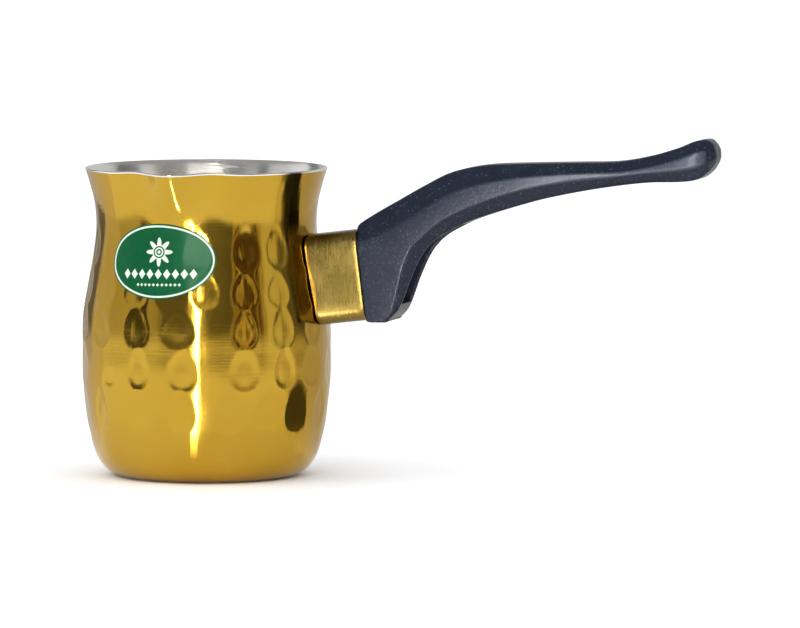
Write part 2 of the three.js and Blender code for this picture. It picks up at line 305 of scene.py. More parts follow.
class GuardSettings(bpy.types.PropertyGroup):
    corner: length("Corner", "Radius of the guard's corners", 4.0 * MM)
    crown: length("Crown", "How far the middle of a face stands out", 0.15 * MM)
    sheet: length("Sheet", "Thickness of the sheet", SHEET * MM)


class HandleSettings(bpy.types.PropertyGroup):
    facet_round: length("Facet Round", "Rounding of the edges between facets", 1.0 * MM)
    lip_round: length("Lip Round", "Rounding of the pocket's edges", 0.55 * MM)
    grain: number("Grain", "Strength of the moulded grain", 0.35, min=0.0, max=1.0)


class LabelSettings(bpy.types.PropertyGroup):
    width: length("Width", "Width of the oval", 38.5 * MM)
    height: length("Height", "Height of the oval", 24.6 * MM)
    middle: length("Middle", "Height of its middle", 73.9 * MM)
    turn: angle("Turn", "Angle round the pot from the lip", -7.0)
    tilt: angle("Tilt", "Tilt of its long axis", -1.2)
    thickness: length("Thickness", "Thickness of the label", 0.12 * MM)
    green: colour("Green", "Colour of the print", (0.0, 0.078, 0.024))
    cream: colour("Cream", "Colour of the border and the ornament", (0.64, 0.73, 0.62))


class FinishSettings(bpy.types.PropertyGroup):
    gold: colour("Gold", "The gold-coloured coating", (0.515, 0.325, 0.04))
    gold_deep: colour("Deep Gold", "The coating where it is thicker", (0.45, 0.245, 0.018))
    satin: colour("Satin Gold", "The flame guard", (0.24, 0.168, 0.041))
    steel: colour("Steel", "The bare steel", (0.93, 0.91, 0.88))
    steel_dull: colour("Dull Steel", "The bare steel in its duller patches", (0.82, 0.79, 0.75))
    phenolic: colour("Phenolic", "The handle", (0.0072, 0.0105, 0.021))


class StageSettings(bpy.types.PropertyGroup):
    azimuth: angle("Azimuth", "Turn of the camera from the lip towards the handle", 16)
    elevation: angle("Elevation", "Height of the camera", 4.8)
    distance: length("Distance", "Distance of the camera from what it aims at", 2.48)
    lens: number("Lens", "Focal length in millimetres", 337.5)
    aim_right: length("Aim Right", "Aim from the object's middle", 0.53 * MM)
    aim_up: length("Aim Up", "Aim from the object's middle", -2.1 * MM)
    floor: length("Floor", "Side of the floor", 14.0)
    sky: number("Sky", "Strength of the light from all round", 1.3)
    ceiling: number("Ceiling", "How bright the room overhead is in reflections", 0.35)


SETTINGS = {
    "pot": PotSettings,
    "guard": GuardSettings,
    "handle": HandleSettings,
    "label": LabelSettings,
    "finish": FinishSettings,
    "stage": StageSettings,
}


def settings(part):
    return getattr(bpy.context.scene, "coffee_pot_" + part)


# ---- curves and places ----------------------------------------------------------------------


def smooth_point(points, position):
    """The point at a position along a smooth curve through the points, which are tuples."""
    last = len(points) - 1
    at = min(max(position, 0.0), float(last))
    i = min(int(at), last - 1)
    t = at - i
    before = points[max(i - 1, 0)]
    start, end = points[i], points[i + 1]
    after = points[min(i + 2, last)]
    return tuple(
        0.5
        * (
            2 * b
            + (c - a) * t
            + (2 * a - 5 * b + 4 * c - d) * t * t
            + (3 * b - a - 3 * c + d) * t**3
        )
        for a, b, c, d in zip(before, start, end, after)
    )


def even_points(points, count, steps=400):
    """Points at even distances along the smooth curve, in millimetres."""
    last = len(points) - 1
    fine = [Vector(smooth_point(points, last * i / steps)) for i in range(steps + 1)]
    run = [0.0]
    for a, b in zip(fine, fine[1:]):
        run.append(run[-1] + (b - a).length)
    found, k = [], 0
    for i in range(count + 1):
        target = run[-1] * i / count
        while k < steps - 1 and run[k + 1] < target:
            k += 1
        share = (target - run[k]) / (run[k + 1] - run[k])
        found.append(fine[k].lerp(fine[k + 1], share))
    return found


def smooth_step(value, low, high):
    t = min(max((value - low) / (high - low), 0.0), 1.0)
    return t * t * (3 - 2 * t)


def soft_max(a, b, rounding):
    gap = max(rounding - abs(a - b), 0.0) / rounding
    return max(a, b) + gap * gap * rounding / 4


@functools.cache
def wall_radius(height):
    """The outer radius of the wall at a height, in millimetres."""
    low = 0
    while low < len(WALL) - 2 and WALL[low + 1][1] < height:
        low += 1
    start, end = float(low), float(low + 1)
    for _ in range(30):
        middle = (start + end) / 2
        if smooth_point(WALL, middle)[1] < height:
            start = middle
        else:
            end = middle
    return smooth_point(WALL, start)[0]


STUB_AXIS = Vector((math.cos(STUB_TILT), 0.0, math.sin(STUB_TILT)))
STUB_UP = Vector((-math.sin(STUB_TILT), 0.0, math.cos(STUB_TILT)))


def on_stub(along, across, up):
    """A point in the stub's own directions, in millimetres from the wall."""
    return STUB_START + STUB_AXIS * along + Vector((0.0, across, 0.0)) + STUB_UP * up


def stub_matrix(along=0.0):
    """Turns +Z onto the stub's axis and moves the origin along it, in metres."""
    turn = Matrix((-STUB_UP, Vector((0.0, 1.0, 0.0)), STUB_AXIS)).transposed().to_4x4()
    return Matrix.Translation(on_stub(along, 0, 0) * MM) @ turn


# ---- hammer marks and lip -------------------------------------------------------------------


def hammer_marks():
    """Rows of marks: each has its angle, its half widths, and its lower and upper edge."""
    pot = settings("pot")
    rng = random.Random(pot.seed)
    rows = []
    for low, high, depth, front in MARK_ROWS:
        far = front[0] + 360 - front[-1]
        count = max(1, round(far * pot.marks_around / 360))
        turns = list(front)
        for i in range(1, count):
            turns.append(front[-1] + far * i / count + rng.uniform(*TURN_SPREAD))
        marks = []
        for i, turn in enumerate(turns):
            before = turn - turns[i - 1] + (360 if i == 0 else 0)
            after = turns[(i + 1) % len(turns)] - turn + (360 if i + 1 == len(turns) else 0)
            radius = wall_radius((low + high) / 2)
            widest = pot.mark_half_width / MM * rng.uniform(*WIDTH_SPREAD)
            left, right = (
                min(math.radians(gap / 2) * radius * MARK_OVERLAP, widest)
                for gap in (before, after)
            )
            bottom = low + rng.uniform(*BOTTOM_SPREAD)
            top = high + rng.uniform(*TOP_SPREAD)
            deep = depth * pot.mark_depth * rng.uniform(*DEPTH_SPREAD)
            marks.append((math.radians(turn), left, right, bottom, top, deep))
        rows.append((low - ROW_MARGINS[0], high + ROW_MARGINS[1], marks))
    for turn, height, radius, depth in SMALL_MARKS:
        low, high = height - radius, height + radius
        rows.append((low, high, [(math.radians(turn), radius, radius, low, high, depth)]))
    return rows


def hammered(rows, turn, height):
    """How deep the wall is hammered in, in millimetres, at an angle and a height."""
    ridge = settings("pot").mark_ridge / MM
    radius = wall_radius(height)
    depth = 0.0
    for low, high, marks in rows:
        if not low < height < high:
            continue
        for mark_turn, left, right, bottom, top, deep in marks:
            side = radius * math.remainder(turn - mark_turn, 2 * math.pi)
            if abs(side) >= MARK_REACH:
                continue
            # The hammer came in low, so a mark is widest and ends most abruptly below.
            middle = bottom + MARK_WIDEST * (top - bottom)
            v = (height - middle) / (top - middle if height > middle else middle - bottom)
            narrowing = 1 - MARK_NARROWING * max(v, 0.0) ** 2
            u = side / ((left if side < 0 else right) * narrowing)
            dish = deep * (1 - (u * u + v * v) ** 2)
            if dish > -2 * ridge:
                depth = soft_max(depth, dish, ridge)
    return depth


def pull_lip(point):
    """Pulls the lip out of the rim at -Y and pinches and lifts the rim beside it."""
    pot = settings("pot")
    radius = math.hypot(point.x, point.y)
    low = (POT_HEIGHT * MM - pot.lip_depth) / MM
    depth = smooth_step(point.z / MM, low, POT_HEIGHT + SHEET)
    if radius == 0.0 or depth == 0.0:
        return point
    turn = abs(math.atan2(point.x, -point.y))
    pull = pot.lip_reach * depth**1.5 * math.exp(-((turn / pot.lip_half_angle) ** 2))
    beside = (turn - FLANK_ANGLE) / pot.lip_half_angle
    flank = depth * math.exp(-(beside**2))
    stretch = 1 + (pull - FLANK_PINCH * MM * flank) / radius
    lifted = point.z + FLANK_LIFT * MM * flank
    return Vector((point.x * stretch, point.y * stretch, lifted))


def wall_place(marks, turn, height, share=1.0, stand_off=0.0):
    """A point on the finished wall. The angle runs from -Y towards +X, lengths in metres."""
    depth = share * hammered(marks, turn, height / MM)
    radius = (wall_radius(height / MM) - depth) * MM + stand_off
    place = Vector((radius * math.sin(turn), -radius * math.cos(turn), height))
    return pull_lip(place)


# ---- meshes ---------------------------------------------------------------------------------


def smooth_but(mesh, sharp):
    """Shades a mesh smooth but for edges sharper than an angle in degrees."""
    for face in mesh.polygons:
        face.use_smooth = True
    if sharp is not None:
        mesh.set_sharp_from_angle(angle=math.radians(sharp))


def new_object(name, bm, materials=()):
    """Puts an object made from a bmesh into the scene."""
    mesh = bpy.data.meshes.new(name)
    bm.to_mesh(mesh)
    bm.free()
    for material in materials:
        mesh.materials.append(material)
    made = bpy.data.objects.new(name, mesh)
    bpy.context.scene.collection.objects.link(made)
    return made


def finish_piece(name, bm, materials, node, sharp=None):
    """Makes the piece from the bmesh and ties it to the frame."""
    piece = new_object(name, bm, materials)
    smooth_but(piece.data, sharp)
    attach(piece, BODY)
    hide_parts(node)
    return piece


def narrow(vert, factor):
    """Brings a point nearer to the Z axis, or further from it."""
    vert.co.x *= factor
    vert.co.y *= factor


def close_seams(bm):
    bmesh.ops.remove_doubles(bm, verts=bm.verts, dist=1e-7)
    bmesh.ops.recalc_face_normals(bm, faces=bm.faces)


def spin(bm, geom, angle, steps):
    """Turns edges about Z. A full turn is joined up to where it began."""
    bmesh.ops.spin(
        bm,
        geom=geom,
        cent=(0, 0, 0),
        axis=(0, 0, 1),
        angle=angle,
        steps=steps,
        use_merge=angle == FULL_TURN,
    )


def turned(bm, outline, steps):
    """Spins an outline of (radius, height) points, in metres, about Z into a closed solid."""
    points = [bm.verts.new((radius, 0.0, height)) for radius, height in outline]
    edges = [bm.edges.new(pair) for pair in zip(points, points[1:])]
    spin(bm, points + edges, FULL_TURN, steps)
    close_seams(bm)


def add_ring(bm, points):
    """A closed ring of edges through the points."""
    verts = bmesh.ops.create_circle(bm, segments=len(points), radius=1.0)["verts"]
    for vert, point in zip(verts, points):
        vert.co = point
    return verts


def ring_edges(verts):
    around = zip(verts, verts[1:] + verts[:1])
    return [next(e for e in a.link_edges if e.other_vert(a) is b) for a, b in around]


def loft(bm, rings, cap_start=True, cap_end=True):
    """Bridges rings of points, and closes the first and the last of them."""
    made = [add_ring(bm, ring) for ring in rings]
    edges = [ring_edges(verts) for verts in made]
    for a, b in zip(edges, edges[1:]):
        bmesh.ops.bridge_loops(bm, edges=a + b)
    if cap_start:
        bm.faces.new(made[0])
    if cap_end:
        bm.faces.new(made[-1])
    bmesh.ops.recalc_face_normals(bm, faces=bm.faces)
    return made


def rounded_corners(corners, rounds, steps=4):
    """A polygon's points, each corner replaced by a short curve of steps + 1 points."""
    points = []
    count = len(corners)
    for i, corner in enumerate(corners):
        before, after = corners[i - 1], corners[(i + 1) % count]
        to_before, to_after = before - corner, after - corner
        start = corner + to_before * min(0.45, rounds[i] / max(to_before.length, 1e-9))
        end = corner + to_after * min(0.45, rounds[i] / max(to_after.length, 1e-9))
        for k in range(steps + 1):
            t = k / steps
            points.append(start.lerp(corner, t).lerp(corner.lerp(end, t), t))
    return points


def rounded_rectangle(width, height, corner, side_steps, corner_steps):
    """Points round a rectangle with round corners, as (across, up), in its own units."""
    x, y = width / 2 - corner, height / 2 - corner
    centres = [(x, y), (-x, y), (-x, -y), (x, -y)]

    def on_corner(quarter, share):
        cx, cy = centres[quarter % 4]
        turn = math.pi / 2 * (quarter + share)
        return (cx + corner * math.cos(turn), cy + corner * math.sin(turn))

    points = []
    for quarter in range(4):
        points += [on_corner(quarter, k / corner_steps) for k in range(corner_steps + 1)]
        (ax, ay), (bx, by) = points[-1], on_corner(quarter + 1, 0.0)
        for k in range(1, side_steps):
            t = k / side_steps
            points.append((ax + (bx - ax) * t, ay + (by - ay) * t))
    return points


def cut(piece, cutter_bm, operation):
    """Joins another closed shape to a piece, or cuts it out of it."""
    cutter = new_object("cutter", cutter_bm)
    modifier = piece.modifiers.new("cut", "BOOLEAN")
    modifier.operation = operation
    modifier.solver = "EXACT"
    modifier.object = cutter
    bpy.context.view_layer.update()
    now = bpy.context.evaluated_depsgraph_get()
    result = bpy.data.meshes.new_from_object(piece.evaluated_get(now), depsgraph=now)
    piece.modifiers.remove(modifier)
    old, cutter_mesh = piece.data, cutter.data
    result.name = old.name
    piece.data = result
    bpy.data.objects.remove(cutter)
    for mesh in (old, cutter_mesh):
        bpy.data.meshes.remove(mesh)


# ---- shader nodes ---------------------------------------------------------------------------

SOCKETS = {"VALUE": "NodeSocketFloat", "RGBA": "NodeSocketColor", "VECTOR": "NodeSocketVector"}


def socket_kind(value):
    """The kind of group socket that carries a socket's output or a plain value."""
    if isinstance(value, bpy.types.NodeSocket):
        return SOCKETS[value.type]
    if isinstance(value, float):
        return SOCKETS["VALUE"]
    return SOCKETS["RGBA" if len(value) == 4 else "VECTOR"]


class Nodes:
    """A short way to add nodes to a tree and to link them."""

    def __init__(self, tree):
        self.tree = tree

    def feed(self, socket, value):
        """Links an input to another node, or gives it a plain value."""
        if isinstance(value, bpy.types.NodeSocket):
            self.tree.links.new(value, socket)
        else:
            socket.default_value = value

    def add(self, kind, inputs=None, **options):
        node = self.tree.nodes.new("ShaderNode" + kind)
        for name, value in options.items():
            setattr(node, name, value)
        for name, value in (inputs or {}).items():
            self.feed(node.inputs[name], value)
        return node

    def place(self):
        return self.add("TexCoord").outputs["Object"]

    def parts(self, vector):
        return self.add("SeparateXYZ", {"Vector": vector}).outputs

    def math(self, operation, a, b=0.0):
        return self.add("Math", {0: a, 1: b}, operation=operation).outputs[0]

    def times(self, a, b):
        return self.math("MULTIPLY", a, b)

    def plus(self, a, b):
        return self.math("ADD", a, b)

    def minus(self, a, b):
        return self.math("SUBTRACT", a, b)

    def over(self, a, b):
        return self.math("DIVIDE", a, b)

    def away(self, a, b):
        """How far apart two values are."""
        return self.math("ABSOLUTE", self.minus(a, b))

    def noise(self, vector, scale, detail=2.0, rough=0.5):
        inputs = {"Vector": vector, "Scale": scale, "Detail": detail, "Roughness": rough}
        return self.add("TexNoise", inputs).outputs["Fac"]

    def stretch(self, vector, scale):
        return self.add("Mapping", {"Vector": vector, "Scale": scale}).outputs["Vector"]

    def mix(self, share, a, b):
        """Mixes two colours. The Mix node's colours are its inputs 6 and 7 and its output 2."""
        return self.add("Mix", {0: share, 6: a, 7: b}, data_type="RGBA").outputs[2]

    def ramp(self, value, low, high, to_low=0.0, to_high=1.0):
        inputs = {"Value": value, 1: low, 2: high, 3: to_low, 4: to_high}
        return self.add("MapRange", inputs).outputs["Result"]

    def tones(self, value, low, high, stops):
        """Grey tones between stops, which are (value, tone)."""
        node = self.add("ValToRGB", {"Fac": self.ramp(value, low, high)})
        elements = node.color_ramp.elements
        while len(elements) < len(stops):
            elements.new(0.5)
        for element, (at, tone) in zip(elements, stops):
            element.position = (at - low) / (high - low)
            element.color = (tone, tone, tone, 1.0)
        return node.outputs["Color"]

    def bump(self, height, strength, distance, normal=None):
        inputs = {"Height": height, "Strength": strength, "Distance": distance}
        if normal is not None:
            inputs["Normal"] = normal
        return self.add("Bump", inputs).outputs["Normal"]

    def group(self, name, fill, inputs):
        """Adds a node group and returns its outputs. It is filled the first time it is used."""
        tree = bpy.data.node_groups.get(name)
        if tree is None:
            tree = bpy.data.node_groups.new(name, "ShaderNodeTree")
            for title, value in inputs.items():
                kind = socket_kind(value)
                tree.interface.new_socket(title, in_out="INPUT", socket_type=kind)
            made = fill(Nodes(tree), tree.nodes.new("NodeGroupInput").outputs)
            for title, value in made.items():
                kind = socket_kind(value)
                tree.interface.new_socket(title, in_out="OUTPUT", socket_type=kind)
            leave = tree.nodes.new("NodeGroupOutput").inputs
            for title, value in made.items():
                tree.links.new(value, leave[title])
        node = self.add("Group", node_tree=tree)
        for title, value in inputs.items():
            self.feed(node.inputs[title], value)
        return node.outputs


def rgba(values):
    return (*values, 1.0)


def brushing(nodes, vector, stretch, gaps):
    """Fine lines left by a brush, drawn along the directions in which the stretch is small."""

    def fill(inner, entry):
        run = inner.stretch(entry["Vector"], entry["Stretch"])
        fine = inner.noise(run, 1.0, 3.0, 0.65)
        broad = inner.noise(inner.stretch(run, (2.5, 2.5, 0.21)), 1.0, 2.0, 0.6)
        patch = inner.ramp(inner.noise(entry["Vector"], 90.0, 2.0), 0.35, 0.65)
        weight = inner.minus(1.0, inner.times(patch, entry["Break"]))
        both = inner.plus(fine, inner.times(broad, 1.3))
        return {
            "Height": inner.times(both, weight),
            "Mask": inner.ramp(inner.times(fine, weight), 0.35, 0.7),
        }

    inputs = {"Vector": vector, "Stretch": stretch, "Break": gaps}
    return nodes.group("Brushing", fill, inputs)


def specks(nodes, vector, scale, share, size):
    """Scattered small round specks: pits in metal, dust, or painted glints on a moulding."""

    def fill(inner, entry):
        cells = inner.add("TexVoronoi", {"Vector": entry["Vector"], "Scale": entry["Scale"]})
        pick = inner.add("SeparateColor", {"Color": cells.outputs["Color"]}).outputs["Red"]
        chosen = inner.math("LESS_THAN", pick, entry["Share"])
        reach = inner.times(entry["Size"], inner.plus(0.5, pick))
        near = inner.minus(1.0, inner.over(cells.outputs["Distance"], reach))
        return {"Mask": inner.times(inner.ramp(near, 0.0, 0.5), chosen)}

    inputs = {"Vector": vector, "Scale": scale, "Share": share, "Size": size}
    return nodes.group("Specks", fill, inputs)["Mask"]


def edge_wear(nodes, vector, start, full, scale):
    """Where an edge stands out, broken up by noise: rubbed wear that also serves as a painted
    highlight along the edge.
    """

    def fill(inner, entry):
        stand = inner.add("NewGeometry").outputs["Pointiness"]
        edge = inner.ramp(stand, entry["Start"], entry["Full"])
        broken = inner.ramp(inner.noise(entry["Vector"], entry["Scale"], 3.0), 0.35, 0.6)
        return {"Mask": inner.times(edge, broken)}

    inputs = {"Vector": vector, "Start": start, "Full": full, "Scale": scale}
    return nodes.group("Edge Wear And Glint", fill, inputs)["Mask"]


def patina(nodes, vector, scale, amount, first, second):
    """Mixes two colours in broad soft patches."""

    def fill(inner, entry):
        cloud = inner.ramp(inner.noise(entry["Vector"], entry["Scale"], 4.0, 0.55), 0.3, 0.7)
        share = inner.times(cloud, entry["Amount"])
        return {"Colour": inner.mix(share, entry["Colour"], entry["Second Colour"])}

    inputs = {
        "Vector": vector,
        "Scale": scale,
        "Amount": amount,
        "Colour": rgba(first),
        "Second Colour": rgba(second),
    }
    return nodes.group("Patina", fill, inputs)["Colour"]


def new_material(name, **sockets):
    """A material with plain values on its shader, as (material, nodes, shader, coordinates)."""
    material = bpy.data.materials.new(name)
    material.use_nodes = True
    nodes = Nodes(material.node_tree)
    shader = material.node_tree.nodes["Principled BSDF"].inputs
    for socket, value in sockets.items():
        shader[socket.replace("_", " ")].default_value = value
    return material, nodes, shader, nodes.place()


def finish_shader(nodes, shader, colour, rough, normal):
    nodes.feed(shader["Base Color"], colour)
    nodes.feed(shader["Roughness"], rough)
    nodes.feed(shader["Normal"], normal)


def run_round(nodes, shader):
    """Draws the highlights out across lines that run round the pot's axis."""
    tangent = nodes.add("Tangent", direction_type="RADIAL", axis="Z").outputs["Tangent"]
    nodes.feed(shader["Tangent"], tangent)


# ---- materials ------------------------------------------------------------------------------


def gold_coating():
    """The bright gold-coloured outside: turned lines, faint draw marks, pits and patches."""
    finish = settings("finish")
    material, nodes, shader, place = new_material(
        "gold_coating", Metallic=1.0, Anisotropic=0.55, Anisotropic_Rotation=0.25
    )
    run_round(nodes, shader)
    patches = patina(nodes, place, 26.0, 0.55, finish.gold, finish.gold_deep)
    pits = specks(nodes, place, 95.0, 0.07, 0.06)
    lines = brushing(nodes, place, (45.0, 45.0, 5200.0), 0.55)
    pitted = nodes.mix(nodes.times(pits, 0.7), patches, (0.2, 0.09, 0.02, 1.0))
    rough = nodes.ramp(lines["Mask"], 0.0, 1.0, 0.11, 0.22)
    draw = nodes.noise(nodes.stretch(place, (230.0, 230.0, 28.0)), 1.0, 2.0, 0.5)
    waves = nodes.bump(draw, 1.0, 0.1 * MM)
    fine = nodes.bump(lines["Height"], 0.9, 0.01 * MM, waves)
    finish_shader(nodes, shader, pitted, nodes.plus(rough, nodes.times(pits, 0.3)), fine)
    return material


def bare_steel(name):
    """Plain steel with the lines of the tool that turned or rolled it."""
    finish = settings("finish")
    material, nodes, shader, place = new_material(
        name, Metallic=1.0, Anisotropic=0.5, Anisotropic_Rotation=0.25
    )
    run_round(nodes, shader)
    lines = brushing(nodes, place, (45.0, 45.0, 3600.0), 0.35)
    patches = patina(nodes, place, 60.0, 0.45, finish.steel, finish.steel_dull)
    rough = nodes.ramp(lines["Mask"], 0.0, 1.0, 0.2, 0.34)
    finish_shader(nodes, shader, patches, rough, nodes.bump(lines["Height"], 0.6, 0.008 * MM))
    return material


def brushed_gold():
    """The flame guard: brushed across its length, duller than the pot, with edges painted bright,
    as rubbed wear and as a painted highlight.
    """
    satin = settings("finish").satin
    material, nodes, shader, place = new_material("brushed_gold", Metallic=1.0)
    lines = brushing(nodes, place, (3800.0, 420.0, 260.0), 0.4)
    patches = patina(nodes, place, 120.0, 0.5, satin, [0.82 * value for value in satin])
    # Painted highlight, partly rubbed wear: the standing edges are painted a bright pale gold.
    wear_and_glint = edge_wear(nodes, place, 0.53, 0.62, 500.0)
    worn_and_glinted = nodes.mix(nodes.times(wear_and_glint, 0.5), patches, (0.9, 0.8, 0.55, 1.0))
    scratched = nodes.mix(nodes.times(lines["Mask"], 0.22), worn_and_glinted, (0.44, 0.34, 0.13, 1.0))
    rough = nodes.ramp(lines["Mask"], 0.0, 1.0, 0.27, 0.42)
    finish_shader(nodes, shader, scratched, rough, nodes.bump(lines["Height"], 0.8, 0.005 * MM))
    return material


def moulded_phenolic():
    """The moulded handle: fine orange-peel grain, tiny painted glints, edges paler from rubbing
    and painted highlight, painted sheen on the sides.
    """
    phenolic = settings("finish").phenolic
    material, nodes, shader, place = new_material(
        "moulded_phenolic", Metallic=0.0, Specular_IOR_Level=0.25
    )
    # Painted glints: small pale bluish specks stand in for glints of light on the grain.
    painted_glints = specks(nodes, place, 1250.0, 0.24, 0.55)
    # The standing edges are painted paler: partly rubbed wear, partly a painted highlight along
    # them.
    wear_and_glint = edge_wear(nodes, place, 0.51, 0.58, 700.0)
    patches = patina(nodes, place, 160.0, 0.6, phenolic, [1.7 * value for value in phenolic])
    glinted_colour = nodes.mix(nodes.times(painted_glints, 0.5), patches, (0.12, 0.14, 0.2, 1.0))
    worn_and_glinted = nodes.mix(nodes.times(wear_and_glint, 0.35), glinted_colour, (0.06, 0.062, 0.07, 1.0))
    # Painted sheen: the flat sides of the grip are painted paler and bluer than the facets above
    # and below them, fading in along the handle, in place of the broad highlight they take.
    sideways = nodes.away(nodes.parts(nodes.add("TexCoord").outputs["Normal"])["Y"], 0.0)
    along = nodes.parts(place)["X"]
    painted_sheen = nodes.times(
        nodes.ramp(sideways, 0.86, 0.985), nodes.ramp(along, 0.075, 0.125, 0.16, 1.0)
    )
    sheened_colour = nodes.mix(nodes.times(painted_sheen, 0.85), worn_and_glinted, (0.07, 0.08, 0.112, 1.0))
    rough = nodes.ramp(nodes.noise(place, 900.0, 3.0, 0.6), 0.3, 0.7, 0.2, 0.31)
    peel = nodes.noise(place, 1300.0, 3.0, 0.55)
    grain = nodes.bump(peel, settings("handle").grain, 0.12 * MM)
    finish_shader(nodes, shader, sheened_colour, rough, grain)
    return material


def label_print():
    """Green print with a pale border, a rosette and two rows of ornament."""
    made = settings("label")
    half_width, half_height = made.width / 2 / MM, made.height / 2 / MM
    material, nodes, shader, place = new_material(
        "label_print", Metallic=0.0, Specular_IOR_Level=0.05, Coat_Weight=0.2, Coat_Roughness=0.34
    )
    plane = nodes.parts(nodes.add("UVMap", uv_map="print").outputs["UV"])
    u = nodes.times(nodes.minus(plane["X"], 0.5), 2.0)
    v = nodes.times(nodes.minus(plane["Y"], 0.5), 2.0)
    across, up = nodes.times(u, half_width), nodes.times(v, half_height)

    def hypot(a, b):
        return nodes.math("SQRT", nodes.plus(nodes.times(a, a), nodes.times(b, b)))

    # The distance from the edge, in millimetres, holds well enough near the edge.
    reach = hypot(u, v)
    steep = hypot(nodes.over(u, half_width), nodes.over(v, half_height))
    inset = nodes.times(nodes.minus(1.0, reach), nodes.over(reach, steep))
    border = nodes.times(nodes.ramp(inset, 0.42, 0.54), nodes.ramp(inset, 1.16, 1.02))

    # A rosette of eight petals round a ring and a dot.
    rise = nodes.minus(up, 3.1)
    reach = hypot(across, rise)
    petals = nodes.math("COSINE", nodes.times(nodes.math("ARCTAN2", rise, across), 8.0))
    limit = nodes.plus(3.5, nodes.times(petals, 1.25))
    flower = nodes.ramp(nodes.minus(limit, reach), -0.04, 0.04)
    eye = nodes.ramp(reach, 1.0, 1.08)
    ring = nodes.ramp(nodes.away(reach, 1.75), 0.2, 0.28)
    rosette = nodes.times(flower, nodes.times(eye, ring))
    dot = nodes.ramp(reach, 0.58, 0.5)

    def row(height, pitch, half_long, half_high, reach_out):
        steps = nodes.over(across, pitch)
        a = nodes.over(nodes.away(steps, nodes.math("ROUND", steps)), half_long / pitch)
        b = nodes.over(nodes.away(up, height), half_high)
        shape = nodes.ramp(nodes.plus(a, b), 1.04, 0.96)
        return nodes.times(shape, nodes.math("LESS_THAN", nodes.away(across, 0.0), reach_out))

    printed = border
    diamonds = row(-4.1, 3.0, 1.25, 1.65, 13.2)
    beads = row(-7.6, 1.5, 0.55, 0.55, 8.2)
    for ornament in (rosette, dot, diamonds, beads):
        printed = nodes.math("MAXIMUM", printed, ornament)
    ground = patina(nodes, place, 220.0, 0.35, made.green, [1.35 * value for value in made.green])
    colour = nodes.mix(printed, ground, rgba(made.cream))
    cloud = nodes.noise(place, 300.0, 3.0)
    rough = nodes.ramp(cloud, 0.3, 0.7, 0.22, 0.36)
    finish_shader(nodes, shader, colour, rough, nodes.bump(cloud, 0.25, 0.03 * MM))
    return material


def material_of(make, **named):
    """The material that a function makes, made once."""
    name = named.get("name", make.__name__)
    return bpy.data.materials.get(name) or make(**named)


# ---- pieces ---------------------------------------------------------------------------------


def wall_sides():
    """Outer and inner points of the wall, as (radius, height) in metres, from foot to rim."""
    pot = settings("pot")
    outer = even_points(WALL, pot.rings)
    edge = outer[-1] + (outer[-2] - outer[-1]).normalized() * RIM_BARE
    outer.insert(-1, edge)
    middle = even_points(WALL, pot.rings // 2)
    inner = []
    for i, point in enumerate(middle):
        ahead = middle[min(i + 1, len(middle) - 1)] - middle[max(i - 1, 0)]
        inwards = Vector((-ahead.y, ahead.x)).normalized()
        inner.append(point + inwards * SHEET)
    return [tuple(p * MM) for p in outer], [tuple(p * MM) for p in inner]


def base_line(height):
    """The base with its pressed bead from the axis out, as (radius, height) in metres."""
    points = [(0.0, height * MM), (0.45 * BEAD_RADIUS * MM, height * MM)]
    for i in range(9):
        side = i / 4 - 1
        rise = BEAD_HEIGHT * (0.5 + 0.5 * math.cos(math.pi * side))
        points.append(((BEAD_RADIUS + side * BEAD_HALF_WIDTH) * MM, (height + rise) * MM))
    return points


class POT_OT_shell(bpy.types.Operator):
    """Spin the pot from its outline, hammer it and pull the lip"""

    bl_idname = "coffee_pot.shell"
    bl_label = "Pot Shell"

    def execute(self, context):
        pot = settings("pot")
        outer, inner = wall_sides()
        # The cut edge of the rim is half an oval across the sheet.
        tip = (Vector(outer[-1]) + Vector(inner[-1])) / 2
        across = Vector(inner[-1]) - Vector(outer[-1])
        ahead = Vector((across.y, -across.x)).normalized()
        if ahead.y < 0:
            ahead = -ahead
        rim = []
        for i in range(1, 6):
            turn = math.pi * i / 6
            crown = ahead * (RIM_CROWN * SHEET * MM) * math.sin(turn)
            rim.append(tuple(tip - across / 2 * math.cos(turn) + crown))
        outline = base_line(0.0) + outer + rim + inner[::-1] + base_line(SHEET)[::-1]
        bm = bmesh.new()
        turned(bm, outline, pot.turns)
        self.coat_outside(bm, outer[-2][1])
        marks = hammer_marks()
        low, high = HAMMERED_HEIGHTS
        for vert in bm.verts:
            radius = math.hypot(vert.co.x, vert.co.y)
            height = vert.co.z / MM
            if low < height < high:
                turn = math.atan2(vert.co.x, -vert.co.y)
                narrow(vert, 1 - hammered(marks, turn, height) * MM / radius)
            vert.co = pull_lip(vert.co)
        finish_piece(
            "pot_shell_hammered",
            bm,
            [material_of(gold_coating), material_of(bare_steel, name="spun_steel")],
            "pot_shell",
        )
        return {"FINISHED"}

    def coat_outside(self, bm, rim_height):
        """The sheet is coated outside only: the cut edge of the rim and the inside are bare."""
        for face in bm.faces:
            middle = face.calc_center_median()
            outwards = face.normal.x * middle.x + face.normal.y * middle.y
            outside = outwards > 0 if middle.z > 2 * MM else face.normal.z < 0
            face.material_index = 0 if outside and middle.z < rim_height else 1


